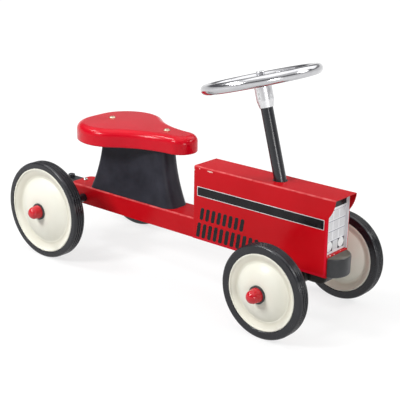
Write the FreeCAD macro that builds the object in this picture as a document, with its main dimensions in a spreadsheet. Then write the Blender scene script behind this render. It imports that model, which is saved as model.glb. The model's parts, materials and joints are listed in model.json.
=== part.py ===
import FreeCAD, Part
import math
import os
import re
import Sketcher
from FreeCAD import Placement, Rotation, Vector

# Ride-on toy tractor: a raked sheet-metal frame with a hood, a saddle seat on a pedestal, four disc wheels,
# and a straight steering column that turns the whole front axle.
# The frame pieces are drawn level, with the rear axle's centre at zero, and then tipped onto the wheels.

# Driving dimensions, in millimetres, with angles in degrees
SIZES = {
    # Wheels and axles
    "wheelbase": 521.0,
    "rear_track": 262.0,
    "front_track": 233.0,
    "rear_tyre_diameter": 190.0,
    "front_tyre_diameter": 166.0,
    "rear_tyre_width": 25.0,
    "front_tyre_width": 22.5,
    "rear_tyre_section": 12.0,
    "front_tyre_section": 15.0,
    "tyre_shoulder": 3.0,
    "tyre_seat_depth": 6.0,
    "tyre_lip": 4.5,
    "tyre_bead_radius": 1.2,
    "tread_groove_width": 1.6,
    "tread_groove_depth": 2.0,
    "tread_crown": 0.6,
    "rim_roll": 2.0,
    "dish_floor": 5.0,
    "hub_half_length": 19.0,
    "hub_face_diameter": 36.0,
    "bush_wall": 3.0,
    "axle_diameter": 10.0,
    "spacer_diameter": 17.0,
    "washer_diameter": 32.0,
    "washer_thickness": 2.5,
    "cap_root_diameter": 26.0,
    "cap_root_height": 2.0,
    "cap_dome_diameter": 23.4,
    "cap_height": 21.0,
    "cap_shoulder": 10.5,
    "cap_bore_depth": 10.0,
    # Frame channel, an inverted tray
    "axle_above_base": 13.2,
    "front_axle_drop": 14.7,
    "channel_width": 61.0,
    "channel_height": 38.0,
    "channel_gauge": 2.0,
    "channel_rear": 41.0,
    "front_overhang": 65.0,
    "channel_corner": 14.0,
    "channel_bend": 3.5,
    # Hood
    "hood_gauge": 1.5,
    "hood_height": 140.0,
    "hood_gap": 58.5,
    "hood_setback": 1.5,
    "visor_reach": 12.5,
    "visor_drop": 33.0,
    "visor_round": 60.0,
    "hood_bend": 3.0,
    # Grille panel and bumper
    "grille_setback": 5.0,
    "grille_gauge": 1.0,
    "bumper_height": 36.0,
    "bumper_reach": 21.5,
    "bumper_round": 4.0,
    "bumper_bolt_spacing": 34.0,
    "bumper_bolt_grip": 12.0,
    # Seat and pedestal
    "seat_top": 168.0,
    "seat_height": 33.0,
    "seat_wall": 5.0,
    "seat_edge_round": 13.5,
    "seat_lip_round": 2.4,
    "seat_lobe_radius": 74.2,
    "seat_lobe_offset": 15.0,
    "seat_nose_radius": 31.6,
    "seat_waist_radius": 178.0,
    "seat_rear_centre": 75.4,
    "seat_nose_centre": 231.3,
    "seat_rear_screw": 52.5,
    "seat_front_screw": 196.0,
    "seat_screw_head": 12.0,
    "seat_screw_head_height": 3.0,
    "seat_screw_shank": 5.0,
    "seat_screw_length": 13.0,
    "pedestal_wall": 4.0,
    "pedestal_base_rear": 14.7,
    "pedestal_base_front": 232.0,
    "pedestal_base_width": 57.0,
    "pedestal_flare": 290.0,
    "pedestal_top_rear": 49.0,
    "pedestal_top_front": 206.0,
    "pedestal_top_width": 50.0,
    "pedestal_rear_corner": 8.0,
    "pedestal_front_corner": 20.0,
    "pedestal_flange_rear": 38.0,
    "pedestal_flange_front": 206.0,
    "pedestal_flange_width": 36.0,
    "pedestal_flange_corner": 12.0,
    "pedestal_flange_thickness": 10.0,
    "pedestal_rib": 14.0,
    "pedestal_rib_height": 45.0,
    "pedestal_screw_inset": 6.0,
    "pedestal_screw_head": 11.0,
    "pedestal_screw_head_height": 4.0,
    "pedestal_screw_shank": 6.0,
    "pedestal_screw_length": 22.0,
    # Trailer hitch
    "hitch_reach": 79.0,
    "hitch_width": 22.0,
    "hitch_thickness": 5.0,
    "hitch_inner_end": 8.0,
    "hitch_post_diameter": 14.0,
    "hitch_post_height": 6.5,
    "hitch_post_dome": 2.0,
    "hitch_rivet_diameter": 8.0,
    "hitch_rivet_head": 12.0,
    "hitch_rivet_head_height": 2.5,
    "hitch_bolt_back": 27.0,
    "hitch_bolt_head": 9.0,
    "hitch_bolt_head_height": 3.5,
    "hitch_bolt_shank": 6.0,
    "hitch_nut": 11.0,
    "hitch_nut_height": 5.0,
    # Steering
    "column_lean_degrees": 15.75,
    "axle_lead": 15.5,
    "column_diameter": 22.0,
    "column_wall": 2.5,
    "bracket_width": 44.0,
    "bracket_gauge": 2.5,
    "bracket_top": 10.5,
    "bracket_back": 20.0,
    "bracket_fore": 27.0,
    "bracket_lip": 6.0,
    "bracket_eye": 9.5,
    "thrust_diameter": 40.0,
    "thrust_thickness": 3.0,
    "bearing_diameter": 36.0,
    "bearing_flange_diameter": 46.0,
    "bearing_flange_thickness": 5.0,
    "bearing_spigot_diameter": 32.0,
    "bush_flange_diameter": 36.0,
    "bush_flange_thickness": 4.0,
    "bush_spigot_diameter": 26.5,
    "clip_diameter": 34.0,
    "clip_height": 6.0,
    "wheel_height": 342.5,
    "rim_diameter": 194.0,
    "rim_tube": 19.0,
    "boss_diameter": 31.0,
    "boss_bottom_diameter": 25.0,
    "boss_drop": 49.0,
    "boss_taper": 13.0,
    "boss_rise": 4.0,
    "boss_top_round": 3.0,
    "boss_web": 10.0,
    "spider_thickness": 3.0,
    "spider_hub_diameter": 31.0,
    "spoke_width": 15.0,
    "spoke_root_width": 22.0,
    "spoke_count": 3,
    "spoke_spread_degrees": 180.0,
    "stud_diameter": 8.0,
    "nut_diameter": 15.0,
    "nut_height": 7.5,
    "nut_round": 3.0,
    "set_screw_diameter": 4.0,
    "set_screw_drop": 24.0,
    "set_screw_spacing": 7.5,
    # Fits
    "running_fit": 0.05,
    "side_play": 0.3,
    "bolt_fit": 0.1,
    "cut_overrun": 5.0,
}

# Shares of the wheel disc's radius and of half the tread's width
SHARES = {
    "dome_edge_share": 0.76,
    "floor_edge_share": 0.82,
    "tread_groove_share": 0.55,
}

# Sizes worked out from the driving ones, as formulas of the sheet
DERIVED = {
    "rear_tyre_radius": "rear_tyre_diameter / 2",
    "front_tyre_radius": "front_tyre_diameter / 2",
    "rear_disc_diameter": "rear_tyre_diameter - 2 * rear_tyre_section",
    "front_disc_diameter": "front_tyre_diameter - 2 * front_tyre_section",
    "axle_radius": "axle_diameter / 2",
    "bush_bore": "axle_radius + running_fit",
    "bush_radius": "bush_bore + bush_wall",
    "base_level": "0 - axle_above_base",
    "channel_top": "base_level + channel_height",
    "channel_under": "channel_top - channel_gauge",
    "channel_half": "channel_width / 2",
    "channel_front": "wheelbase + front_overhang",
    "hood_rear": "pedestal_base_front + hood_gap",
    "hood_front": "channel_front - hood_setback",
    "visor_front": "hood_front + visor_reach",
    "hood_width": "channel_width + 2 * hood_gauge",
    "hood_top": "base_level + hood_height",
    "hood_under": "hood_top - hood_gauge",
    "front_axle_level": "base_level - front_axle_drop",
    "seat_bottom": "seat_top - seat_height",
    "seat_under": "seat_top - seat_wall",
    "seat_span": "seat_nose_centre - seat_rear_centre",
    "lobe_to_nose": "sqrt(seat_span ^ 2 + seat_lobe_offset ^ 2)",
    "waist_to_lobe": "seat_lobe_radius + seat_waist_radius",
    "waist_to_nose": "seat_nose_radius + seat_waist_radius",
    "waist_along": "(waist_to_lobe ^ 2 - waist_to_nose ^ 2 + lobe_to_nose ^ 2) / (2 * lobe_to_nose)",
    "waist_aside": "sqrt(waist_to_lobe ^ 2 - waist_along ^ 2)",
    "waist_ahead": "(waist_along * seat_span + waist_aside * seat_lobe_offset) / lobe_to_nose",
    "waist_outside": "(waist_aside * seat_span - waist_along * seat_lobe_offset) / lobe_to_nose",
    "pedestal_top": "seat_under - pedestal_flange_thickness",
    "pedestal_height": "pedestal_top - channel_top",
    "bumper_radius": "(channel_half ^ 2 + bumper_reach ^ 2) / (2 * bumper_reach)",
    "hub_outer": "hub_half_length + side_play",
    "cap_foot": "hub_outer + washer_thickness",
    "axle_end": "cap_foot + cap_bore_depth - side_play",
    "column_radius": "column_diameter / 2",
    "column_foot_u": "wheelbase - axle_lead * cos(column_lean_degrees)",
    "column_foot_w": "front_axle_level - axle_lead * sin(column_lean_degrees)",
    "bearing_centre": "column_foot_u - (channel_top - column_foot_w) * tan(column_lean_degrees)",
    "bush_centre": "column_foot_u - (hood_top - column_foot_w) * tan(column_lean_degrees)",
    "clip_slant": "clip_diameter / 2 * sin(column_lean_degrees)",
    "clip_foot": "(channel_top - column_foot_w + clip_slant) / cos(column_lean_degrees) + side_play",
    "rear_pedestal_screw": "pedestal_top_rear + pedestal_screw_inset",
    "front_pedestal_screw": "pedestal_top_front - pedestal_screw_inset",
    "bearing_bottom": "bracket_top + thrust_thickness + side_play",
    "boss_bottom": "wheel_height - boss_drop",
    "boss_top": "wheel_height + boss_rise",
    "column_end": "boss_top - boss_web",
    "spider_top": "boss_top + spider_thickness",
    "nut_top": "spider_top + nut_height",
    "rim_radius": "rim_diameter / 2",
}

doc = FreeCAD.newDocument("ride_on_tractor")
sheet = doc.addObject("Spreadsheet::Sheet", "Sizes")
cells = {alias: str(number) for alias, number in {**SIZES, **SHARES}.items()}
cells.update({alias: "=" + formula for alias, formula in DERIVED.items()})
for row, (alias, content) in enumerate(cells.items(), start=1):
    sheet.set("A%d" % row, alias)
    sheet.set("B%d" % row, content)
    sheet.setAlias("B%d" % row, alias)
doc.recompute()


def value(expression):
    """A formula's number, worked out by the sheet."""
    return float(sheet.evalExpression(expression))


def named(expression):
    """The formula as another object of the document writes it, with the sheet's name before each alias."""
    def with_sheet(match):
        word = match.group(0)
        return "Sizes." + word if word in cells else word
    return re.sub(r"[a-z_]+", with_sheet, expression)


def bind(item, **formulas):
    """Tie properties of an object to formulas of the sheet."""
    for name, formula in formulas.items():
        item.setExpression(name, named(formula))


# Where the level frame stands: its rake follows from the wheels' sizes and the axles' places on the frame
front_axle_u = value("wheelbase")
front_axle_w = value("front_axle_level")
drop_to_front = value("front_tyre_radius - rear_tyre_radius")
axle_distance = math.hypot(front_axle_u, front_axle_w)
rake = math.asin(drop_to_front / axle_distance) - math.atan2(front_axle_w, front_axle_u)
nose_x = (value("channel_front + bumper_reach - bumper_round") * math.cos(rake)
          - value("base_level + bumper_round") * math.sin(rake) + value("bumper_round"))
rear_axle_x = -(nose_x - value("rear_tyre_radius")) / 2
rear_axle = Vector(rear_axle_x, 0, value("rear_tyre_radius"))
across = Vector(0, 1, 0)
frame_place = Placement(rear_axle, Rotation(across, -math.degrees(rake)))
front_axle = frame_place.multVec(Vector(front_axle_u, 0, front_axle_w))

# The steering pieces are drawn with the column's axis as Z and the front axle ahead of it, at zero height
column_foot = Vector(value("column_foot_u"), 0, value("column_foot_w"))
column_place = Placement(column_foot, Rotation(across, -value("column_lean_degrees")))
steer_place = frame_place.multiply(column_place)


# Sketches, whose points and radii are formulas of the sheet
same_place = 1e-4


def make_body(label):
    return doc.addObject("PartDesign::Body", label)


def fix_point(sketch, geometry, end, x, y):
    """Hold one end of a line or arc, or a circle's centre, at two formulas."""
    for kind, axis, formula in (("DistanceX", -2, x), ("DistanceY", -1, y)):
        if abs(value(formula)) < same_place:
            sketch.addConstraint(Sketcher.Constraint("PointOnObject", geometry, end, axis))
        else:
            rule = Sketcher.Constraint(kind, -1, 1, geometry, end, value(formula))
            sketch.setExpression("Constraints[%d]" % sketch.addConstraint(rule), named(formula))


def fix_radius(sketch, geometry, radius):
    rule = Sketcher.Constraint("Radius", geometry, value(radius))
    sketch.setExpression("Constraints[%d]" % sketch.addConstraint(rule), named(radius))


def draw_loop(sketch, corners):
    """A closed outline. Each corner is (x, y), or (x, y, radius, turn) where an arc leaves it."""
    edges = []
    for corner, following in zip(corners, corners[1:] + corners[:1]):
        start = Vector(value(corner[0]), value(corner[1]), 0)
        end = Vector(value(following[0]), value(following[1]), 0)
        if len(corner) == 2:
            edges.append((sketch.addGeometry(Part.LineSegment(start, end), False), 1, 2))
            continue
        radius = value(corner[2])
        side = 1 if corner[3] == "left" else -1
        chord = end - start
        depth = math.sqrt(max(radius ** 2 - chord.Length ** 2 / 4, 0))
        normal = Vector(-chord.y, chord.x, 0).normalize()
        centre = (start + end) / 2 + normal * depth * side
        first, last = (start, end) if side > 0 else (end, start)
        angles = [math.atan2(point.y - centre.y, point.x - centre.x) for point in (first, last)]
        circle = Part.Circle(centre, Vector(0, 0, 1), radius)
        arc = sketch.addGeometry(Part.ArcOfCircle(circle, angles[0], angles[1]), False)
        edges.append((arc, 1, 2) if side > 0 else (arc, 2, 1))
    for edge, following in zip(edges, edges[1:] + edges[:1]):
        sketch.addConstraint(Sketcher.Constraint("Coincident", edge[0], edge[2], following[0], following[1]))
    for edge, corner in zip(edges, corners):
        fix_point(sketch, edge[0], edge[1], corner[0], corner[1])
        if len(corner) > 2:
            fix_radius(sketch, edge[0], corner[2])


def draw_circle(sketch, x, y, radius):
    circle = Part.Circle(Vector(value(x), value(y), 0), Vector(0, 0, 1), value(radius))
    geometry = sketch.addGeometry(circle, False)
    fix_point(sketch, geometry, 3, x, y)
    fix_radius(sketch, geometry, radius)


def add_sketch(body, plane, loops=(), circles=(), lift="0"):
    """A sketch on one of a body's own planes, lifted along the plane's normal."""
    sketch = body.newObject("Sketcher::SketchObject", body.Label + "_outline")
    support = [item for item in body.Origin.OriginFeatures if item.Role == plane][0]
    sketch.AttachmentSupport = [(support, "")]
    sketch.MapMode = "FlatFace"
    if lift != "0":
        sketch.setExpression("AttachmentOffset.Base.z", named(lift))
    for loop in loops:
        draw_loop(sketch, loop)
    for circle in circles:
        draw_circle(sketch, *circle)
    doc.recompute()
    if not sketch.FullyConstrained:
        raise RuntimeError("%s: a sketch is not held by its sizes" % body.Label)
    return sketch


def pad(body, sketch, length, symmetric=False):
    feature = body.newObject("PartDesign::Pad", body.Label + "_pad")
    feature.Profile = sketch
    feature.SideType = "Symmetric" if symmetric else "One side"
    bind(feature, Length=length)
    doc.recompute()
    return feature


def pocket(body, sketch, depth, symmetric=False, up=False):
    """Cut a sketch's outline out of the body, against the sketch's normal unless it goes up."""
    before = body.Shape.Volume
    feature = body.newObject("PartDesign::Pocket", body.Label + "_pocket")
    feature.Profile = sketch
    feature.SideType = "Symmetric" if symmetric else "One side"
    feature.Reversed = up
    bind(feature, Length=depth)
    doc.recompute()
    if body.Shape.Volume >= before:
        raise RuntimeError("%s: a pocket cut nothing" % body.Label)
    return feature


def revolve(label, corners):
    """A body turned about Z from an outline in the XZ plane."""
    body = make_body(label)
    sketch = add_sketch(body, "XZ_Plane", loops=[corners])
    feature = body.newObject("PartDesign::Revolution", label + "_turn")
    feature.Profile = sketch
    feature.ReferenceAxis = (sketch, ["V_Axis"])
    doc.recompute()
    return body


def round_edges(body, feature, radius, chosen):
    """Fillet the edges of the last feature that a test picks out."""
    names = ["Edge%d" % number for number, edge in enumerate(feature.Shape.Edges, start=1) if chosen(edge)]
    fillet = body.newObject("PartDesign::Fillet", body.Label + "_fillet")
    fillet.Base = (feature, names)
    bind(fillet, Radius=radius)
    doc.recompute()
    return fillet


def lies_at(edge, axis, place):
    """Whether a whole edge lies at one place along X (0), Y (1) or Z (2)."""
    samples = [edge.valueAt(edge.FirstParameter), edge.valueAt(edge.LastParameter), edge.CenterOfMass]
    return all(abs(point[axis] - place) < same_place for point in samples)


def cylinder(label, radius, height, place):
    item = doc.addObject("Part::Cylinder", label)
    bind(item, Radius=radius, Height=height)
    item.Placement = place
    return item


def cut(label, base, tool):
    item = doc.addObject("Part::Cut", label)
    item.Base = base
    item.Tool = tool
    return item


def fuse(label, shapes):
    item = doc.addObject("Part::MultiFuse", label)
    item.Shapes = shapes
    return item


def group(label, members):
    """Several like solids kept as one node."""
    item = doc.addObject("Part::Compound", label)
    item.Links = members
    return item


def mirrored(label, source):
    """The same piece on the other side of the tractor."""
    item = doc.addObject("Part::Mirroring", label)
    item.Source = source
    item.Normal = (0, 1, 0)
    return item


nodes = {}


def keep(item, place=None):
    """Count a finished piece as a node, under its own label, at its place."""
    if place is not None:
        item.Placement = place
    nodes[item.Label] = item
    return item


# Outlines that several pieces share
def rounded_box(rear, front, width, rear_corner, front_corner):
    """A plan outline with its own corner radius at each end."""
    half = "(%s) / 2" % width
    rear_corner = "(%s)" % rear_corner
    front_corner = "(%s)" % front_corner
    inner_rear = "%s + %s" % (rear, rear_corner)
    inner_front = "%s - %s" % (front, front_corner)
    side_rear = "%s - %s" % (half, rear_corner)
    side_front = "%s - %s" % (half, front_corner)
    return [
        (inner_rear, "-(%s)" % half),
        (inner_front, "-(%s)" % half, front_corner, "left"),
        (front, "-(%s)" % side_front),
        (front, side_front, front_corner, "left"),
        (inner_front, half),
        (inner_rear, half, rear_corner, "left"),
        (rear, side_rear),
        (rear, "-(%s)" % side_rear, rear_corner, "left"),
    ]


def both_halves(upper):
    """A closed outline from its upper half and that half's mirror image below the X axis.

    An outline that starts on the axis itself leaves off the last point, which is its first one again.
    """
    lower = []
    for index in range(len(upper) - 1, -1, -1):
        arc = upper[index - 1][2:] if index > 0 else ()
        lower.append((upper[index][0], "-(%s)" % upper[index][1]) + tuple(arc))
    return list(upper) + lower


def bolt(label, head, head_height, shank, length):
    """A round-headed bolt that hangs down from zero, with its head above."""
    return revolve(label, [
        ("0", "-(%s)" % length),
        ("(%s) / 2" % shank, "-(%s)" % length),
        ("(%s) / 2" % shank, "0"),
        ("(%s) / 2" % head, "0"),
        ("(%s) / 2" % head, "(%s) / 3" % head_height),
        ("(%s) / 3" % head, head_height),
        ("0", head_height),
    ])


def bolt_at(body, u, v, w, flipped=False):
    """Stand a bolt on the level frame, head up or head down."""
    tip = Rotation(Vector(1, 0, 0), 180) if flipped else Rotation()
    body.Placement = frame_place.multiply(Placement(Vector(u, v, w), tip))
    return body


# Frame channel: an inverted tray of folded sheet, closed at both ends, with its corners rounded at the back
channel = make_body("chassis_channel")
channel_outline = add_sketch(channel, "XY_Plane", lift="base_level", loops=[rounded_box(
    "0 - channel_rear", "channel_front", "channel_width", "channel_corner", "channel_bend")])
tray = pad(channel, channel_outline, "channel_height")
round_edges(channel, tray, "channel_bend", lambda edge: lies_at(edge, 2, value("channel_top")))
inner_outline = add_sketch(channel, "XY_Plane", lift="base_level", loops=[rounded_box(
    "channel_gauge - channel_rear", "channel_front - channel_gauge", "channel_width - 2 * channel_gauge",
    "channel_corner - channel_gauge", "channel_bend - channel_gauge")])
pocket(channel, inner_outline, "channel_height - channel_gauge", up=True)
axle_holes = add_sketch(channel, "XZ_Plane", circles=[("0", "0", "axle_radius + bolt_fit")])
pocket(channel, axle_holes, "channel_width + 2 * cut_overrun", symmetric=True)
top_holes = add_sketch(channel, "XY_Plane", lift="channel_top + cut_overrun", circles=[
    ("bearing_centre", "0", "bearing_spigot_diameter / 2 + bolt_fit"),
    ("0 - hitch_bolt_back", "0", "hitch_bolt_shank / 2 + bolt_fit"),
    ("rear_pedestal_screw", "0", "pedestal_screw_shank / 2 + bolt_fit"),
    ("front_pedestal_screw", "0", "pedestal_screw_shank / 2 + bolt_fit"),
])
pocket(channel, top_holes, "2 * cut_overrun")
hitch_slot = add_sketch(channel, "YZ_Plane", lift="0 - channel_rear - cut_overrun", loops=[[
    ("0 - hitch_width / 2 - bolt_fit", "channel_under - hitch_thickness - bolt_fit"),
    ("hitch_width / 2 + bolt_fit", "channel_under - hitch_thickness - bolt_fit"),
    ("hitch_width / 2 + bolt_fit", "channel_under"),
    ("0 - hitch_width / 2 - bolt_fit", "channel_under"),
]])
pocket(channel, hitch_slot, "cut_overrun + channel_corner", up=True)
bumper_holes = add_sketch(channel, "YZ_Plane", lift="channel_front + cut_overrun", circles=[
    ("%sbumper_bolt_spacing / 2" % sign, "base_level + bumper_height / 2", "bumper_bolt_grip / 4 + bolt_fit")
    for sign in ("0 - ", "")])
pocket(channel, bumper_holes, "2 * cut_overrun")
keep(channel, frame_place)

# Hood: one folded sheet, closed at the back and open below, whose top reaches forward as a visor
hood = make_body("hood")
hood_side = add_sketch(hood, "XZ_Plane", loops=[[
    ("hood_rear", "base_level"),
    ("hood_front", "base_level"),
    ("hood_front", "hood_top - visor_drop", "visor_round", "left"),
    ("visor_front", "hood_top"),
    ("hood_rear", "hood_top"),
]])
hood_block = pad(hood, hood_side, "hood_width", symmetric=True)


def is_hood_bend(edge):
    on_side = lies_at(edge, 1, value("hood_width / 2")) or lies_at(edge, 1, -value("hood_width / 2"))
    on_top = lies_at(edge, 2, value("hood_top"))
    on_back = lies_at(edge, 0, value("hood_rear"))
    return (on_side and (on_top or on_back)) or (on_top and on_back)


round_edges(hood, hood_block, "hood_bend", is_hood_bend)
hood_inside = add_sketch(hood, "XZ_Plane", loops=[[
    ("hood_rear + hood_gauge", "base_level - cut_overrun"),
    ("visor_front + cut_overrun", "base_level - cut_overrun"),
    ("visor_front + cut_overrun", "hood_under"),
    ("hood_rear + hood_gauge", "hood_under"),
]])
pocket(hood, hood_inside, "channel_width", symmetric=True)
channel_mouth = add_sketch(hood, "YZ_Plane", lift="hood_rear - cut_overrun", loops=[[
    ("0 - channel_half", "base_level - cut_overrun"),
    ("channel_half", "base_level - cut_overrun"),
    ("channel_half", "channel_top"),
    ("0 - channel_half", "channel_top"),
]])
pocket(hood, channel_mouth, "2 * cut_overrun", up=True)
column_hole = add_sketch(hood, "XY_Plane", lift="hood_top + cut_overrun", circles=[
    ("bush_centre", "0", "bush_spigot_diameter / 2 + bolt_fit")])
pocket(hood, column_hole, "2 * cut_overrun")
keep(hood, frame_place)

# Grille panel: a thin plate with its sides folded forward, set back under the visor
grille = make_body("grille_panel")
grille_plan = add_sketch(grille, "XY_Plane", lift="channel_top", loops=[[
    ("hood_front", "0 - channel_half"),
    ("hood_front", "grille_gauge - channel_half"),
    ("hood_front - grille_setback", "grille_gauge - channel_half"),
    ("hood_front - grille_setback", "channel_half - grille_gauge"),
    ("hood_front", "channel_half - grille_gauge"),
    ("hood_front", "channel_half"),
    ("hood_front - grille_setback - grille_gauge", "channel_half"),
    ("hood_front - grille_setback - grille_gauge", "0 - channel_half"),
]])
pad(grille, grille_plan, "hood_under - channel_top")
keep(grille, frame_place)

# Bumper: a half-round rubber block on the channel's front wall, held by two bolts from behind
bumper = make_body("front_bumper")
bumper_plan = add_sketch(bumper, "XY_Plane", lift="base_level", loops=[[
    ("channel_front", "channel_half"),
    ("channel_front", "0 - channel_half", "bumper_radius", "left"),
    ("channel_front + bumper_reach", "0", "bumper_radius", "left"),
]])
bumper_block = pad(bumper, bumper_plan, "bumper_height")


def is_bumper_rim(edge):
    at_ends = [lies_at(edge, 2, value(level)) for level in ("base_level", "base_level + bumper_height")]
    return any(at_ends) and not lies_at(edge, 0, value("channel_front"))


round_edges(bumper, bumper_block, "bumper_round", is_bumper_rim)
bumper_sockets = add_sketch(bumper, "YZ_Plane", lift="channel_front - cut_overrun", circles=[
    ("%sbumper_bolt_spacing / 2" % sign, "base_level + bumper_height / 2", "bumper_bolt_grip / 4 + bolt_fit")
    for sign in ("0 - ", "")])
pocket(bumper, bumper_sockets, "cut_overrun + bumper_bolt_grip", up=True)
keep(bumper, frame_place)

bumper_bolts = []
for side in (-1, 1):
    piece = bolt("bumper_bolt", "bumper_bolt_grip", "bumper_bolt_grip / 3", "bumper_bolt_grip / 2",
                 "bumper_bolt_grip + channel_gauge - side_play")
    centre = Vector(value("channel_front - channel_gauge"), side * value("bumper_bolt_spacing / 2"),
                    value("base_level + bumper_height / 2"))
    piece.Placement = frame_place.multiply(Placement(centre, Rotation(across, -90)))
    bumper_bolts.append(piece)
keep(group("bumper_bolts", bumper_bolts))

# Pedestal: a hollow moulding that flares onto the channel, with a plate on top that carries the seat and
# two low ribs that take its screws
pedestal_screw_places = ("rear_pedestal_screw", "front_pedestal_screw")
seat_screw_places = ("seat_rear_screw", "seat_front_screw")


def pedestal_form(label, inset, cover):
    """The pedestal's solid outline, drawn in by a wall and stopped below a cover."""
    body = make_body(label)
    top = "pedestal_top - %s" % cover
    flare = "pedestal_flare + %s" % inset
    side = add_sketch(body, "XZ_Plane", loops=[[
        ("pedestal_base_rear + %s" % inset, "channel_top"),
        ("pedestal_base_front - %s" % inset, "channel_top", flare, "right"),
        ("pedestal_top_front - %s" % inset, top),
        ("pedestal_top_rear + %s" % inset, top, flare, "right"),
    ]])
    pad(body, side, "pedestal_base_width - 2 * %s" % inset, symmetric=True)
    wedges = []
    for sign in ("", "0 - "):
        wedges.append([
            ("%s(pedestal_base_width / 2 - %s)" % (sign, inset), "channel_top"),
            ("%s(pedestal_base_width / 2 + cut_overrun)" % sign, "channel_top"),
            ("%s(pedestal_base_width / 2 + cut_overrun)" % sign, top),
            ("%s(pedestal_top_width / 2 - %s)" % (sign, inset), top),
        ])
    side_cuts = add_sketch(body, "YZ_Plane", loops=wedges)
    tapered = pocket(body, side_cuts, "2 * pedestal_base_front + cut_overrun", symmetric=True)
    middle = value("(pedestal_base_rear + pedestal_base_front) / 2")

    def is_upright(edge):
        return edge.BoundBox.ZLength > value("pedestal_height") / 2

    rear_rounded = round_edges(body, tapered, "pedestal_rear_corner - %s" % inset,
                               lambda edge: is_upright(edge) and edge.BoundBox.Center.x < middle)
    front_corners = {(edge.BoundBox.XMax, edge.BoundBox.YMax) for edge in tapered.Shape.Edges
                     if is_upright(edge) and edge.BoundBox.Center.x > middle}

    def is_front_corner(edge):
        place = (edge.BoundBox.XMax, edge.BoundBox.YMax)
        apart = min(math.dist(place, corner) for corner in front_corners)
        return is_upright(edge) and apart < value("bolt_fit")

    round_edges(body, rear_rounded, "pedestal_front_corner - %s" % inset, is_front_corner)
    return body


ribs = []
for middle in pedestal_screw_places:
    rib = doc.addObject("Part::Box", "pedestal_rib_block")
    bind(rib, Length="pedestal_rib", Width="pedestal_base_width", Height="pedestal_rib_height")
    rib_rear = value("%s - pedestal_rib / 2" % middle)
    rib.Placement.Base = Vector(rib_rear, -value("pedestal_base_width / 2"), value("channel_top"))
    ribs.append(rib)
hollow = cut("pedestal_hollow", pedestal_form("pedestal_inside", "pedestal_wall", "pedestal_wall"),
             fuse("pedestal_ribs", ribs))
flange = make_body("pedestal_flange")
flange_plan = add_sketch(flange, "XY_Plane", lift="pedestal_top", loops=[rounded_box(
    "pedestal_flange_rear", "pedestal_flange_front", "pedestal_flange_width",
    "pedestal_flange_corner", "pedestal_flange_corner")])
pad(flange, flange_plan, "pedestal_flange_thickness")
solid_form = fuse("pedestal_solid", [pedestal_form("pedestal_outside", "0", "0"), flange])
shell = cut("pedestal_shell", solid_form, hollow)
drills = []
for place in pedestal_screw_places:
    foot = Vector(value(place), 0, value("channel_top - cut_overrun"))
    drills.append(cylinder("pedestal_drill", "pedestal_screw_shank / 2 + bolt_fit",
                           "pedestal_screw_length + cut_overrun", Placement(foot, Rotation())))
for place in seat_screw_places:
    foot = Vector(value(place), 0, value("seat_top - seat_screw_length"))
    drills.append(cylinder("seat_drill", "seat_screw_shank / 2 + bolt_fit",
                           "seat_screw_length + cut_overrun", Placement(foot, Rotation())))
keep(cut("seat_pedestal", shell, fuse("pedestal_drills", drills)), frame_place)

pedestal_screws = []
for place in pedestal_screw_places:
    piece = bolt("pedestal_screw", "pedestal_screw_head", "pedestal_screw_head_height",
                 "pedestal_screw_shank", "pedestal_screw_length + channel_gauge - cut_overrun")
    pedestal_screws.append(bolt_at(piece, value(place), 0, value("channel_under"), flipped=True))
keep(group("pedestal_screws", pedestal_screws))


# Seat: a saddle moulded as a shell, round at the back and drawn in to a nose
def saddle(inset):
    """The seat's plan outline, drawn in by an inset: a straight back, two lobes, a waist and a round nose."""
    lobe = "(seat_lobe_radius - %s)" % inset
    nose = "(seat_nose_radius - %s)" % inset
    waist = "seat_waist_radius + %s" % inset
    back = "seat_rear_centre - %s" % lobe
    lobe_x = "seat_rear_centre + waist_ahead * %s / waist_to_lobe" % lobe
    lobe_y = "seat_lobe_offset + waist_outside * %s / waist_to_lobe" % lobe
    nose_x = "seat_nose_centre + (waist_ahead - seat_span) * %s / waist_to_nose" % nose
    nose_y = "(seat_lobe_offset + waist_outside) * %s / waist_to_nose" % nose
    return both_halves([
        ("seat_nose_centre + %s" % nose, "0", nose, "left"),
        (nose_x, nose_y, waist, "right"),
        (lobe_x, lobe_y, lobe, "left"),
        (back, "seat_lobe_offset"),
    ])[:-1]


seat = make_body("seat")
seat_outside = add_sketch(seat, "XY_Plane", lift="seat_bottom", loops=[saddle("0")])
seat_block = pad(seat, seat_outside, "seat_height")
round_edges(seat, seat_block, "seat_edge_round", lambda edge: lies_at(edge, 2, value("seat_top")))
seat_inside = add_sketch(seat, "XY_Plane", lift="seat_bottom", loops=[saddle("seat_wall")])
seat_hollow = pocket(seat, seat_inside, "seat_height - seat_wall", up=True)
seat_vault = round_edges(seat, seat_hollow, "seat_edge_round - seat_wall",
                         lambda edge: lies_at(edge, 2, value("seat_under")))
round_edges(seat, seat_vault, "seat_lip_round", lambda edge: lies_at(edge, 2, value("seat_bottom")))
screw_holes = add_sketch(seat, "XY_Plane", lift="seat_top + cut_overrun", circles=[
    (place, "0", "seat_screw_shank / 2 + bolt_fit") for place in seat_screw_places])
pocket(seat, screw_holes, "2 * cut_overrun")
keep(seat, frame_place)

seat_screws = []
for place in seat_screw_places:
    piece = bolt("seat_screw", "seat_screw_head", "seat_screw_head_height", "seat_screw_shank",
                 "seat_screw_length - side_play")
    seat_screws.append(bolt_at(piece, value(place), 0, value("seat_top")))
keep(group("seat_screws", seat_screws))

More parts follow.
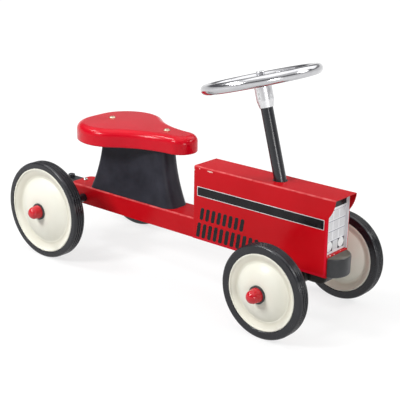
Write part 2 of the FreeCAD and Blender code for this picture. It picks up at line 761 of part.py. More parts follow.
# Trailer hitch: a strap bolted under the channel's top, with a domed post riveted through its end
strap = make_body("hitch_strap")
strap_plan = add_sketch(strap, "XY_Plane", lift="channel_under - hitch_thickness", loops=[[
    ("0 - hitch_inner_end", "0 - hitch_width / 2"),
    ("0 - hitch_inner_end", "hitch_width / 2"),
    ("hitch_width / 2 - hitch_reach", "hitch_width / 2", "hitch_width / 2", "left"),
    ("0 - hitch_reach", "0", "hitch_width / 2", "left"),
    ("hitch_width / 2 - hitch_reach", "0 - hitch_width / 2"),
]], circles=[
    ("hitch_width / 2 - hitch_reach", "0", "hitch_rivet_diameter / 2 + bolt_fit"),
    ("0 - hitch_bolt_back", "0", "hitch_bolt_shank / 2 + bolt_fit"),
])
pad(strap, strap_plan, "hitch_thickness")
keep(strap, frame_place)

post = revolve("hitch_post", [
    ("0", "0 - hitch_thickness - hitch_rivet_head_height"),
    ("hitch_rivet_head / 2", "0 - hitch_thickness - hitch_rivet_head_height"),
    ("hitch_rivet_head / 2", "0 - hitch_thickness"),
    ("hitch_rivet_diameter / 2", "0 - hitch_thickness"),
    ("hitch_rivet_diameter / 2", "0"),
    ("hitch_post_diameter / 2", "0"),
    ("hitch_post_diameter / 2", "hitch_post_height - hitch_post_dome", "hitch_post_dome", "left"),
    ("hitch_post_diameter / 2 - hitch_post_dome", "hitch_post_height"),
    ("0", "hitch_post_height"),
])
post.Placement = frame_place.multiply(
    Placement(Vector(value("hitch_width / 2 - hitch_reach"), 0, value("channel_under")), Rotation()))
keep(post)

hitch_bolt = bolt("hitch_bolt", "hitch_bolt_head", "hitch_bolt_head_height", "hitch_bolt_shank",
                  "channel_gauge + hitch_thickness + hitch_nut_height")
keep(bolt_at(hitch_bolt, -value("hitch_bolt_back"), 0, value("channel_top")))


def pad_ring(label, bore, outside, length):
    """A plain ring or tube that stands on zero."""
    body = make_body(label)
    sketch = add_sketch(body, "XY_Plane", circles=[("0", "0", bore), ("0", "0", outside)])
    pad(body, sketch, length)
    return body


hitch_nut = pad_ring("hitch_nut", "hitch_bolt_shank / 2 + bolt_fit", "hitch_nut / 2", "hitch_nut_height")
hitch_nut.Placement = frame_place.multiply(Placement(Vector(
    -value("hitch_bolt_back"), 0, value("channel_under - hitch_thickness - hitch_nut_height")), Rotation()))
keep(hitch_nut)

# Wheels: a solid grooved tyre on a domed disc with a rolled edge, which turns on a pressed-in bush
outward = {"right": Rotation(Vector(1, 0, 0), 90), "left": Rotation(Vector(1, 0, 0), -90)}


def tyre_outline(axle):
    radius = "%s_tyre_radius" % axle
    half = "%s_tyre_width / 2" % axle
    edge = "%s_disc_diameter / 2" % axle
    rib_edge = "%s - tread_crown" % radius
    floor = "%s - tread_groove_depth" % radius
    tread = "(%s - tyre_shoulder)" % half
    groove = "%s * tread_groove_share" % tread
    groove_outside = "%s + tread_groove_width / 2" % groove
    groove_inside = "%s - tread_groove_width / 2" % groove
    outer_rib = "(%s - (%s))" % (tread, groove_outside)
    inner_rib = "(%s - tread_groove_width / 2)" % groove_inside
    rib_arcs = ["(%s ^ 2 / 4 + tread_crown ^ 2) / (2 * tread_crown)" % rib for rib in (outer_rib, inner_rib)]
    upper = [
        ("%s - tyre_seat_depth" % edge, "%s - tyre_lip" % half),
        (edge, "%s - tyre_lip" % half),
        (edge, "%s - tyre_bead_radius" % half, "tyre_bead_radius", "right"),
        ("%s + tyre_bead_radius" % edge, half),
        ("%s - tyre_shoulder" % rib_edge, half, "tyre_shoulder", "right"),
        (rib_edge, tread, rib_arcs[0], "right"),
        (rib_edge, groove_outside),
        (floor, groove_outside),
        (floor, groove_inside),
        (rib_edge, groove_inside, rib_arcs[1], "right"),
        (rib_edge, "tread_groove_width / 2"),
        (floor, "tread_groove_width / 2"),
    ]
    return both_halves(upper)


def disc_outline(axle):
    edge = "%s_disc_diameter / 2" % axle
    half = "%s_tyre_width / 2" % axle
    face = "hub_face_diameter / 2"
    run = "(%s * dome_edge_share - %s)" % (edge, face)
    fall = "(hub_half_length - dish_floor)"
    upper = [
        ("bush_radius", "hub_half_length"),
        (face, "hub_half_length", "(%s ^ 2 + %s ^ 2) / (2 * %s)" % (run, fall, fall), "right"),
        ("%s * dome_edge_share" % edge, "dish_floor"),
        ("%s * floor_edge_share" % edge, "dish_floor"),
        ("%s - 2 * rim_roll" % edge, "%s - rim_roll" % half, "rim_roll", "right"),
        ("%s - rim_roll" % edge, half, "rim_roll", "right"),
        (edge, "%s - rim_roll" % half),
        (edge, "%s - tyre_lip" % half),
        ("%s - tyre_seat_depth" % edge, "%s - tyre_lip" % half),
    ]
    return both_halves(upper)


for axle, centre in (("rear", rear_axle), ("front", front_axle)):
    pieces = {
        "tyre": revolve("%s_tyre_right" % axle, tyre_outline(axle)),
        "disc": revolve("%s_disc_right" % axle, disc_outline(axle)),
        "bush": revolve("%s_bush_right" % axle, [
            ("bush_bore", "0 - hub_half_length"), ("bush_radius", "0 - hub_half_length"),
            ("bush_radius", "hub_half_length"), ("bush_bore", "hub_half_length")]),
    }
    middle = centre - across * value("%s_track / 2" % axle)
    for name, piece in pieces.items():
        keep(piece, Placement(middle, outward["right"]))
        keep(mirrored("%s_%s_left" % (axle, name), piece))

# Axles, with a spacer tube, a washer and a pressed-on cap at each end
for axle, centre, inner in (("rear", rear_axle, "channel_half"), ("front", front_axle, "bracket_width / 2")):
    track = "%s_track / 2" % axle
    rod = cylinder("%s_axle" % axle, "axle_radius", "%s_track + 2 * axle_end" % axle,
                   Placement(centre + across * value("%s + axle_end" % track), outward["right"]))
    keep(rod)
    spacer = pad_ring("%s_spacer" % axle, "axle_radius + bolt_fit", "spacer_diameter / 2",
                      "%s - hub_outer - %s" % (track, inner))
    spacer.Placement = Placement(centre - across * value(inner), outward["right"])
    washer = pad_ring("%s_washer" % axle, "axle_radius + bolt_fit", "washer_diameter / 2", "washer_thickness")
    washer.Placement = Placement(centre - across * value("%s + hub_outer" % track), outward["right"])
    cap = revolve("%s_hub_cap" % axle, [
        ("axle_radius + running_fit", "0"),
        ("cap_root_diameter / 2", "0"),
        ("cap_root_diameter / 2", "cap_root_height"),
        ("cap_dome_diameter / 2", "cap_height - cap_shoulder", "cap_shoulder", "left"),
        ("cap_dome_diameter / 2 - cap_shoulder", "cap_height"),
        ("0", "cap_height"),
        ("0", "cap_bore_depth"),
        ("axle_radius + running_fit", "cap_bore_depth"),
    ])
    cap.Placement = Placement(centre - across * value("%s + cap_foot" % track), outward["right"])
    for name, piece in (("spacers", spacer), ("washers", washer), ("hub_caps", cap)):
        keep(group("%s_%s" % (axle, name), [piece, mirrored("%s_%s_mirror" % (axle, name), piece)]))


# Column bearings: moulded bushes flat against the sheet, with a bore that leans as the column does
def column_bore(label, clearance):
    """The column's path, run well past both bearings."""
    length = "wheel_height + boss_drop"
    return cylinder(label, "column_radius + %s" % clearance, length,
                    column_place.multiply(Placement(Vector(0, 0, -value("boss_drop")), Rotation())))


def upright(label, diameter, height, centre, level):
    place = Placement(Vector(value(centre), 0, value(level)), Rotation())
    return cylinder(label, "%s / 2" % diameter, height, place)


bush_flange = upright("bush_flange", "bush_flange_diameter", "bush_flange_thickness", "bush_centre",
                      "hood_under - bush_flange_thickness")
bush_spigot = upright("bush_spigot", "bush_spigot_diameter", "bush_flange_thickness + hood_gauge",
                      "bush_centre", "hood_under - bush_flange_thickness")
upper_bush = cut("upper_column_bush", fuse("upper_bush_blank", [bush_flange, bush_spigot]),
                 column_bore("upper_bore", "running_fit"))
keep(upper_bush, frame_place)

sleeve = cylinder("bearing_sleeve", "bearing_diameter / 2", "wheel_height - bearing_bottom",
                  column_place.multiply(Placement(Vector(0, 0, value("bearing_bottom")), Rotation())))
above = doc.addObject("Part::Box", "above_channel_skin")
bind(above, Length="wheelbase", Width="2 * bearing_diameter", Height="2 * wheel_height")
above.Placement = Placement(Vector(0, -value("bearing_diameter"), value("channel_under")), Rotation())
bearing_flange = upright("bearing_flange", "bearing_flange_diameter", "bearing_flange_thickness",
                         "bearing_centre", "channel_under - bearing_flange_thickness")
bearing_spigot = upright("bearing_spigot", "bearing_spigot_diameter",
                         "bearing_flange_thickness + channel_gauge", "bearing_centre",
                         "channel_under - bearing_flange_thickness")
bearing_blank = fuse("bearing_blank", [cut("bearing_skirt", sleeve, above), bearing_flange, bearing_spigot])
keep(cut("lower_column_bearing", bearing_blank, column_bore("lower_bore", "running_fit")), frame_place)

# Steering column: a tube on the axle bracket, with a plugged top that ends in a stud
keep(revolve("steering_column", [
    ("column_radius - column_wall", "bracket_top"),
    ("column_radius", "bracket_top"),
    ("column_radius", "column_end"),
    ("stud_diameter / 2", "column_end"),
    ("stud_diameter / 2", "nut_top - nut_round"),
    ("0", "nut_top - nut_round"),
    ("0", "column_end - boss_web"),
    ("column_radius - column_wall", "column_end - boss_web"),
]), steer_place)

bracket = make_body("front_axle_bracket")
bracket_side = add_sketch(bracket, "XZ_Plane", loops=[[
    ("0 - bracket_back", "bracket_top"),
    ("0 - bracket_back", "bracket_top - bracket_lip"),
    ("axle_lead - bracket_eye", "0", "bracket_eye", "left"),
    ("axle_lead", "0 - bracket_eye", "bracket_eye", "left"),
    ("axle_lead + bracket_eye", "0"),
    ("bracket_fore", "bracket_top - bracket_lip"),
    ("bracket_fore", "bracket_top"),
]])
pad(bracket, bracket_side, "bracket_width", symmetric=True)
bracket_inside = add_sketch(bracket, "XZ_Plane", loops=[[
    ("0 - bracket_back - cut_overrun", "0 - bracket_eye - cut_overrun"),
    ("bracket_fore + cut_overrun", "0 - bracket_eye - cut_overrun"),
    ("bracket_fore + cut_overrun", "bracket_top - bracket_gauge"),
    ("0 - bracket_back - cut_overrun", "bracket_top - bracket_gauge"),
]])
pocket(bracket, bracket_inside, "bracket_width - 2 * bracket_gauge", symmetric=True)
bracket_eyes = add_sketch(bracket, "XZ_Plane", circles=[("axle_lead", "0", "axle_radius + bolt_fit")])
pocket(bracket, bracket_eyes, "bracket_width + 2 * cut_overrun", symmetric=True)
keep(bracket, steer_place)

thrust = pad_ring("thrust_washer", "column_radius + bolt_fit", "thrust_diameter / 2", "thrust_thickness")
keep(thrust, steer_place.multiply(Placement(Vector(0, 0, value("bracket_top")), Rotation())))

clip = pad_ring("column_clip", "column_radius + bolt_fit", "clip_diameter / 2", "clip_height")
keep(clip, steer_place.multiply(Placement(Vector(0, 0, value("clip_foot")), Rotation())))

# Steering wheel: a tube rim, a flat spider of three spokes, and a boss that the column's end fits into
rim = doc.addObject("Part::Torus", "steering_rim")
bind(rim, Radius1="rim_radius", Radius2="rim_tube / 2")
wheel_place = steer_place.multiply(Placement(Vector(0, 0, value("wheel_height")), Rotation()))
keep(rim, wheel_place)

boss = revolve("steering_boss", [
    ("column_radius + bolt_fit", "boss_bottom"),
    ("boss_bottom_diameter / 2", "boss_bottom"),
    ("boss_diameter / 2", "boss_bottom + boss_taper"),
    ("boss_diameter / 2", "boss_top - boss_top_round", "boss_top_round", "left"),
    ("boss_diameter / 2 - boss_top_round", "boss_top"),
    ("stud_diameter / 2 + bolt_fit", "boss_top"),
    ("stud_diameter / 2 + bolt_fit", "column_end"),
    ("column_radius + bolt_fit", "column_end"),
])
set_screw_levels = ["wheel_height - set_screw_drop - %s" % lower for lower in ("0", "set_screw_spacing")]
screw_drills = add_sketch(boss, "XZ_Plane", circles=[
    ("0", level, "set_screw_diameter / 2 + bolt_fit") for level in set_screw_levels])
pocket(boss, screw_drills, "boss_diameter", up=True)
keep(boss, steer_place)

set_screws = []
for level in set_screw_levels:
    seat_point = Vector(0, -value("column_radius + bolt_fit"), value(level))
    set_screws.append(cylinder("set_screw", "set_screw_diameter / 2",
                               "(boss_diameter - column_diameter) / 2 - bolt_fit",
                               steer_place.multiply(Placement(seat_point, outward["right"]))))
keep(group("boss_set_screw", set_screws))

spider_blank = make_body("spider_blank")
spider_hub = add_sketch(spider_blank, "XY_Plane", lift="boss_rise", circles=[
    ("0", "0", "spider_hub_diameter / 2")])
pad(spider_blank, spider_hub, "spider_thickness")
spoke_plan = add_sketch(spider_blank, "XY_Plane", lift="boss_rise", loops=[[
    ("0 - spoke_root_width / 2", "0"),
    ("0 - spoke_width / 2", "0 - rim_radius"),
    ("spoke_width / 2", "0 - rim_radius"),
    ("spoke_root_width / 2", "0"),
]])
spoke = pad(spider_blank, spoke_plan, "spider_thickness")
spokes = spider_blank.newObject("PartDesign::PolarPattern", "spider_spokes")
spokes.Originals = [spoke]
spokes.Axis = (spoke_plan, ["N_Axis"])
bind(spokes, Angle="spoke_spread_degrees", Occurrences="spoke_count")
spider_blank.Tip = spokes
doc.recompute()
stud_hole = add_sketch(spider_blank, "XY_Plane", lift="boss_rise + spider_thickness + cut_overrun",
                       circles=[("0", "0", "stud_diameter / 2 + bolt_fit")])
pocket(spider_blank, stud_hole, "spider_thickness + 2 * cut_overrun")
rim_cutter = doc.addObject("Part::Torus", "rim_cutter")
bind(rim_cutter, Radius1="rim_radius", Radius2="rim_tube / 2")
keep(cut("steering_spider", spider_blank, rim_cutter), wheel_place)

keep(revolve("steering_nut", [
    ("stud_diameter / 2 + bolt_fit", "spider_top"),
    ("nut_diameter / 2", "spider_top"),
    ("nut_diameter / 2", "nut_top - nut_round", "nut_round", "left"),
    ("nut_diameter / 2 - nut_round", "nut_top"),
    ("0", "nut_top"),
    ("0", "nut_top - nut_round + bolt_fit"),
    ("stud_diameter / 2 + bolt_fit", "nut_top - nut_round + bolt_fit"),
]), steer_place)

# Checks, then one file for each node
doc.recompute()
for item in doc.Objects:
    if "Invalid" in item.State or "Error" in item.State:
        raise RuntimeError("%s failed: %s" % (item.Label, item.State))
for label, item in nodes.items():
    if item.Shape.isNull() or not item.Shape.isValid() or not item.Shape.Solids:
        raise RuntimeError("%s has no valid solid" % label)
os.makedirs("parts", exist_ok=True)
for label, item in nodes.items():
    item.Shape.exportStep("parts/%s.step" % label)

print("nodes", len(nodes))
print("rake in degrees", round(math.degrees(rake), 3))
print("rear axle", [round(number, 3) for number in rear_axle])
print("front axle", [round(number, 3) for number in front_axle])
print("column foot", [round(number, 3) for number in steer_place.Base])
print("column axis", [round(number, 6) for number in steer_place.Rotation.multVec(Vector(0, 0, 1))])
print("steering wheel", [round(number, 3) for number in wheel_place.Base])
print("frame up", [round(number, 6) for number in frame_place.Rotation.multVec(Vector(0, 0, 1))])
print("hitch post", [round(number, 3) for number in post.Placement.Base])
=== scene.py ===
import json
import math

import bmesh
import bpy
from mathutils import Matrix, Vector


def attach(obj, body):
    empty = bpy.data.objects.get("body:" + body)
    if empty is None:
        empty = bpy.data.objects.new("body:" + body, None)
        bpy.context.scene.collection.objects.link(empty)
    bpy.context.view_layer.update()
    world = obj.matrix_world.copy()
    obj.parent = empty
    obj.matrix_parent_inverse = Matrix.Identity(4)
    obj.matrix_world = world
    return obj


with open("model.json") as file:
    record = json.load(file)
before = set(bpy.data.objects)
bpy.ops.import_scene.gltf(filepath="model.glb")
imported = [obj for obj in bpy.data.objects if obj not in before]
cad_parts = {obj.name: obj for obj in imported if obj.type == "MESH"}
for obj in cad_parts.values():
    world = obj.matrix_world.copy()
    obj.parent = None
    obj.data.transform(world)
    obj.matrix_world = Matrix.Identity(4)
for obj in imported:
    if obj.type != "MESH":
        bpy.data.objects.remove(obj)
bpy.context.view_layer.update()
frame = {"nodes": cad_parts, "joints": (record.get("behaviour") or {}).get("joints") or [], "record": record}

# Frame channel: a tray of steel sheet, folded down all round, that carries every other piece.
# It is sprayed in gloss red enamel with a little orange peel and chipped at the front, with a paler red
# painted along its folds as a highlight.
millimetre = 0.001
to_left = Vector((0, 1, 0))
joints = {joint["name"]: joint for joint in frame["joints"]}
rear_axle = Vector(joints["rear_wheel_left_spin"]["pos_m"])
frame_up = Vector(frame["record"]["mounts"][0]["axis"]).normalized()
frame_forward = to_left.cross(frame_up)
channel_half_width = 30.5
channel_top = 24.8
channel_bend = 3.5


def on_frame(along, across, above):
    """A point of the raked frame, in millimetres ahead of, left of and above the rear axle's middle."""
    return rear_axle + (frame_forward * along + to_left * across + frame_up * above) * millimetre


def add_node(tree, kind, inputs=(), **settings):
    """A shader node with its settings, and its sockets filled from values or from other sockets."""
    node = tree.nodes.new("ShaderNode" + kind)
    for name, setting in settings.items():
        setattr(node, name, setting)
    for socket, source in dict(inputs).items():
        if isinstance(source, bpy.types.NodeSocket):
            tree.links.new(source, node.inputs[socket])
        else:
            node.inputs[socket].default_value = source
    return node


def new_finish(name, gloss=0.5, metal=0.0):
    """A material whose shader has a constant gloss and share of metal."""
    material = bpy.data.materials.new(name)
    material.use_nodes = True
    shader = material.node_tree.nodes["Principled BSDF"]
    shader.inputs["Specular IOR Level"].default_value = gloss
    shader.inputs["Metallic"].default_value = metal
    return material


def feed(material, socket, source):
    """Lead a node's output to a socket of the material's shader."""
    tree = material.node_tree
    tree.links.new(source, tree.nodes["Principled BSDF"].inputs[socket])


def object_place(tree):
    """The surface's place in the object's own coordinates, in metres."""
    return add_node(tree, "TexCoord").outputs["Object"]


noise_low = 0.3
noise_high = 0.7


def mottle(tree, size, low=0.0, high=1.0, detail=4.0):
    """Cloudy noise whose patches have a size in metres, spread between two values."""
    noise = add_node(tree, "TexNoise", {"Vector": object_place(tree), "Scale": 1 / size, "Detail": detail})
    spread = add_node(tree, "MapRange", {
        "Value": noise.outputs["Fac"], "From Min": noise_low, "From Max": noise_high,
        "To Min": low, "To Max": high})
    return spread.outputs["Result"]


def blend_colours(tree, share, first, second):
    """A mix of two colours, either of which may come from another node."""
    mix = add_node(tree, "Mix", {"Factor": share}, data_type="RGBA")
    for socket, colour in ((mix.inputs[6], first), (mix.inputs[7], second)):
        if isinstance(colour, bpy.types.NodeSocket):
            tree.links.new(colour, socket)
        else:
            socket.default_value = colour
    return mix.outputs[2]


def relief(material, height, depth):
    """Fine relief of the surface, its depth in metres."""
    bump = add_node(material.node_tree, "Bump", {"Height": height, "Distance": depth, "Strength": 1.0})
    feed(material, "Normal", bump.outputs["Normal"])


orange_peel_size = 0.004
orange_peel_depth = 0.00001


def orange_peel(material):
    """The faint ripple of sprayed enamel."""
    relief(material, mottle(material.node_tree, orange_peel_size, detail=1), orange_peel_depth)


def frame_height(tree):
    """How far the surface lies above the rear axle, square to the frame, in metres."""
    from_axle = add_node(tree, "VectorMath", {0: object_place(tree), 1: rear_axle}, operation="SUBTRACT")
    above = add_node(tree, "VectorMath", {0: from_axle.outputs["Vector"], 1: frame_up},
                     operation="DOT_PRODUCT")
    return above.outputs["Value"]


chip_edge_size = 0.0022
chip_edge_shares = (-0.4, 0.4)
chip_inside_share = 0.85
chip_outside_share = 1.05


def chipped_spots(tree, places):
    """A mask of ragged spots, each at a point and with a reach in metres along each axis."""
    ragged = mottle(tree, chip_edge_size, *chip_edge_shares, detail=5)
    mask = 0.0
    for point, reach in places:
        away = add_node(tree, "VectorMath", {0: object_place(tree), 1: point}, operation="SUBTRACT")
        shares = add_node(tree, "VectorMath", {0: away.outputs["Vector"], 1: reach}, operation="DIVIDE")
        share = add_node(tree, "VectorMath", {0: shares.outputs["Vector"]}, operation="LENGTH")
        rough = add_node(tree, "Math", {0: share.outputs["Value"], 1: ragged}, operation="ADD")
        spot = add_node(tree, "MapRange", {
            "Value": rough.outputs[0], "From Min": chip_inside_share, "From Max": chip_outside_share,
            "To Min": 1.0, "To Max": 0.0})
        joined = add_node(tree, "Math", {0: spot.outputs["Result"], 1: mask}, operation="MAXIMUM")
        mask = joined.outputs[0]
    return mask


# Painted highlight: a paler red laid along the long folds, in uneven patches.
fold_highlight_patch = 0.012
fold_highlight_shares = (0.3, 1.6)


def fold_painted_highlight(tree, half_width, top, bend):
    """A mask of the painted highlight on the two long folds of a sheet, strongest at the middle of the bend
    and uneven along it.
    """
    place = add_node(tree, "SeparateXYZ", {"Vector": object_place(tree)})
    across = add_node(tree, "Math", {0: place.outputs["Y"]}, operation="ABSOLUTE").outputs[0]
    share = mottle(tree, fold_highlight_patch, *fold_highlight_shares)
    for distance, edge in ((across, half_width), (frame_height(tree), top)):
        reach = add_node(tree, "MapRange", {
            "Value": distance, "From Min": (edge - bend) * millimetre, "From Max": edge * millimetre})
        highlight_share = add_node(tree, "Math", {0: share, 1: reach.outputs["Result"]}, operation="MULTIPLY")
        share = highlight_share.outputs[0]
    return share


enamel_dark = (0.465, 0.0022, 0.0065, 1)
enamel_light = (0.535, 0.0035, 0.0095, 1)
enamel_patch = 0.11
# Painted highlight: the paler red laid along the folds.
enamel_painted_highlight = (0.74, 0.16, 0.16, 1)
primer_cream = (0.70, 0.54, 0.48, 1)
enamel_roughness = (0.20, 0.27)
enamel_roughness_patch = 0.03
enamel_gloss = 0.13


def red_enamel(name, chips, half_width, top, bend):
    """Sprayed gloss enamel on folded steel, with a painted highlight of paler red along the folds, and
    chipped to the primer at some places.
    """
    material = new_finish(name, enamel_gloss)
    tree = material.node_tree
    colour = blend_colours(tree, mottle(tree, enamel_patch), enamel_dark, enamel_light)
    # Painted highlight of paler red along the folds.
    colour = blend_colours(tree, fold_painted_highlight(tree, half_width, top, bend), colour, enamel_painted_highlight)
    colour = blend_colours(tree, chipped_spots(tree, chips), colour, primer_cream)
    feed(material, "Base Color", colour)
    feed(material, "Roughness", mottle(tree, enamel_roughness_patch, *enamel_roughness))
    orange_peel(material)
    return material


def dress(material, *nodes):
    """Give CAD nodes a finish."""
    for node in nodes:
        slots = frame["nodes"][node].data.materials
        slots.clear()
        slots.append(material)


chip_drop = 0.8
shelf_chips = [
    (on_frame(584, -20, channel_top), (0.0014, 0.0019, 0.0012)),
    (on_frame(585, -9, channel_top - chip_drop), (0.0009, 0.0013, 0.0009)),
    (on_frame(583, 12, channel_top), (0.0008, 0.0010, 0.0008)),
]
channel_enamel = red_enamel("channel_enamel", shelf_chips, channel_half_width, channel_top, channel_bend)
dress(channel_enamel, "chassis_channel")

# Pedestal: a hollow moulding of black plastic with a fine leather grain, flared onto the frame.
# Two screws hold it down through the frame's top, and the plate on its own top carries the seat.
grains_per_metre = 700.0
grain_depth = 0.00012


def mottled_finish(name, patch, dark, light, roughness, gloss=0.5, metal=0.0):
    """A finish that drifts between two colours and two roughnesses, in patches of a size in metres."""
    material = new_finish(name, gloss, metal)
    tree = material.node_tree
    feed(material, "Base Color", blend_colours(tree, mottle(tree, patch), dark, light))
    feed(material, "Roughness", mottle(tree, patch / 2, *roughness))
    return material


pedestal_plastic = mottled_finish(
    "pedestal_plastic", patch=0.03, dark=(0.019, 0.019, 0.026, 1), light=(0.031, 0.031, 0.042, 1),
    roughness=(0.38, 0.50), gloss=0.14)
tree = pedestal_plastic.node_tree
grain_cells = add_node(tree, "TexVoronoi", {"Vector": object_place(tree), "Scale": grains_per_metre},
                       feature="SMOOTH_F1")
relief(pedestal_plastic, grain_cells.outputs["Distance"], grain_depth)
dress(pedestal_plastic, "seat_pedestal")
zinc = mottled_finish(
    "zinc_plate", patch=0.004, dark=(0.42, 0.42, 0.41, 1), light=(0.66, 0.66, 0.65, 1),
    roughness=(0.22, 0.42), metal=1.0)
dress(zinc, "pedestal_screws")

# Seat: a saddle of glossy red plastic, moulded as a shell with a soft round edge.
# Two brassy pan-head screws on its middle line fix it to the pedestal.
ripple_size = 0.035
ripple_depth = 0.00005
seat_plastic = mottled_finish(
    "seat_plastic", patch=0.09, dark=(0.51, 0.0012, 0.010, 1), light=(0.59, 0.002, 0.015, 1),
    roughness=(0.17, 0.22), gloss=0.2)
relief(seat_plastic, mottle(seat_plastic.node_tree, ripple_size, detail=1), ripple_depth)
dress(seat_plastic, "seat")
pale_brass = mottled_finish(
    "pale_brass", patch=0.004, dark=(0.46, 0.37, 0.27, 1), light=(0.57, 0.47, 0.36, 1),
    roughness=(0.42, 0.54), metal=1.0)
dress(pale_brass, "seat_screws")

# Hood: one steel sheet folded down at both sides and the back, in the same enamel as the frame, with a hem.
# A bare black stripe with a silver border runs along each side, and a printed panel of louvres lies below it.
hood_half_width = 32.0
hood_rear = 290.5
hood_front = 584.5
hood_base = -13.2
hood_top = 126.8
hood_bend = 3.0
hood_chips = [
    (on_frame(329, -hood_half_width, 121.6), (0.0058, 0.003, 0.0013)),
    (on_frame(305, -hood_half_width, 122.6), (0.0012, 0.002, 0.0008)),
    (on_frame(293, -hood_half_width, 118.0), (0.0010, 0.002, 0.0016)),
]
dress(red_enamel("hood_enamel", hood_chips, hood_half_width, hood_top, hood_bend), "hood")


def add_piece(mesh, material, body):
    """Put a mesh in the scene as a piece of the same name, which rides on a body."""
    piece = bpy.data.objects.new(mesh.name, mesh)
    bpy.context.scene.collection.objects.link(piece)
    mesh.materials.append(material)
    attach(piece, body)


def raise_outline(build, outline, place, thickness):
    """Raise a flat outline into a closed plate, laid by a function of two places and a height."""
    lower = [build.verts.new(place(x, y, 0)) for x, y in outline]
    upper = [build.verts.new(place(x, y, thickness)) for x, y in outline]
    caps = [build.faces.new(upper), build.faces.new(list(reversed(lower)))]
    for index in range(len(outline)):
        following = (index + 1) % len(outline)
        build.faces.new((lower[index], lower[following], upper[following], upper[index]))
    return caps


def built_mesh(name, build):
    """The mesh of what was built."""
    mesh = bpy.data.meshes.new(name)
    build.to_mesh(mesh)
    build.free()
    return mesh


def print_film(name, outlines, place, thickness):
    """A film of ink, paint or foil on a surface."""
    build = bmesh.new()
    for outline in outlines:
        raise_outline(build, outline, place, thickness)
    bmesh.ops.recalc_face_normals(build, faces=build.faces)
    return built_mesh(name, build)


def rounded_bar(left, low, right, high, radius, slant=0.0, steps=5):
    """A rectangle with round corners, leaning forward by a slant for each unit of height."""
    points = []
    corners = ((right - radius, high - radius, 0), (left + radius, high - radius, 1),
               (left + radius, low + radius, 2), (right - radius, low + radius, 3))
    for x, y, quarter in corners:
        for step in range(steps + 1):
            angle = (quarter + step / steps) * math.pi / 2
            px = x + radius * math.cos(angle)
            py = y + radius * math.sin(angle)
            points.append((px + (py - low) * slant, py))
    return points


def on_hood(side):
    """A function that lays an outline on one side of the hood, the right for -1 and the left for 1."""
    def lay(along, above, height):
        return on_frame(along, side * (hood_half_width + height), above)
    return lay


ink_black = mottled_finish(
    "printed_black", patch=0.02, dark=(0.0035, 0.0035, 0.0045, 1), light=(0.009, 0.009, 0.011, 1),
    roughness=(0.24, 0.34), gloss=0.2)
foil_silver = mottled_finish(
    "foil_silver", patch=0.012, dark=(0.55, 0.57, 0.58, 1), light=(0.74, 0.75, 0.76, 1),
    roughness=(0.28, 0.40), metal=0.4)
hem_red = mottled_finish(
    "hem_enamel", patch=0.04, dark=(0.54, 0.005, 0.018, 1), light=(0.62, 0.008, 0.026, 1),
    roughness=enamel_roughness, gloss=enamel_gloss)
ink_thickness = 0.12
stripe_rear = 299.8
stripe_front = 577.0
stripe_low = 70.8
stripe_high = 88.8
stripe_border = 1.2
stripe_corner = 0.8
stripe = rounded_bar(stripe_rear, stripe_low, stripe_front, stripe_high, stripe_corner)
band = rounded_bar(stripe_rear + stripe_border, stripe_low + stripe_border, stripe_front - stripe_border,
                   stripe_high - stripe_border, stripe_corner)
louvre_pitch = 13.2
louvre_width = 8.2
louvre_corner = louvre_width / 2.4
louvre_slant = 0.16
lower_louvre_row = (298.0, 11, -8.5, 20.0)
upper_louvre_row = (306.0, 8, 26.0, 50.0)
louvres = []
for rear, count, low, high in (lower_louvre_row, upper_louvre_row):
    for number in range(count):
        start = rear + number * louvre_pitch
        louvres.append(rounded_bar(start, low, start + louvre_width, high, louvre_corner, louvre_slant))
hem_width = 4.6
hem_corner = 0.3
hem_top = 88.0
hem_start = hood_front - hem_width
hems = [rounded_bar(hood_rear, hood_base, hem_start, hood_base + hem_width, hem_corner),
        rounded_bar(hem_start, hood_base, hood_front, hem_top, hem_corner)]
side_prints = (
    ("stripe_border", [stripe], foil_silver, ink_thickness),
    ("stripe_band", [band], ink_black, 2 * ink_thickness),
    ("louvre_print", louvres, ink_black, ink_thickness),
    ("hem", hems, hem_red, ink_thickness),
)
for side, side_name in ((-1, "right"), (1, "left")):
    for print_name, outlines, ink, thickness in side_prints:
        film = print_film("%s_%s" % (print_name, side_name), outlines, on_hood(side), thickness)
        add_piece(film, ink, "chassis")

# Grille panel: a thin white plate behind the visor, with its edges folded forward against the hood's sides.
# A radiator of fine bars, a dark head band and two round lamps are printed on it.
grille_white = mottled_finish(
    "grille_white", patch=0.03, dark=(0.76, 0.76, 0.78, 1), light=(0.84, 0.84, 0.86, 1),
    roughness=(0.30, 0.42), gloss=0.3)
dress(grille_white, "grille_panel")
grille_face = 579.5
grille_rows = (47.0, 65.0, 83.0, 101.0)
grille_columns = (-27.0, -8.5, 8.5, 27.0)
row_line = 0.9
bar_pitch = 2.8
bar_width = 1.3
bar_foot_gap = 2.4
bar_head_gap = 1.6
middle_bars = 5
middle_bars_low = 30.0
dash_pitch = 4.6
dash_share = 0.55
dash_length = dash_share * dash_pitch
dashes = 12
head_band_half_width = 29.0
head_band_low = 105.2
head_band_high = 121.0
lamp_across = 17.4
lamp_above = 38.4
lamp_radius = 8.7
lamp_margin = 0.7
lamp_head_trim = 1.0
lamp_cell = lamp_radius + lamp_margin
lamp_cell_head = lamp_cell - lamp_head_trim


def on_grille(across, above, height):
    """A point on the grille's face, or a height ahead of it."""
    return on_frame(grille_face + height, across, above)


def oblong(left, low, right, high):
    """A rectangle's outline."""
    return [(left, low), (right, low), (right, high), (left, high)]


def ring(x, y, radius, steps=40):
    """A circle's outline."""
    turn = 2 * math.pi / steps
    return [(x + radius * math.cos(turn * step), y + radius * math.sin(turn * step)) for step in range(steps)]


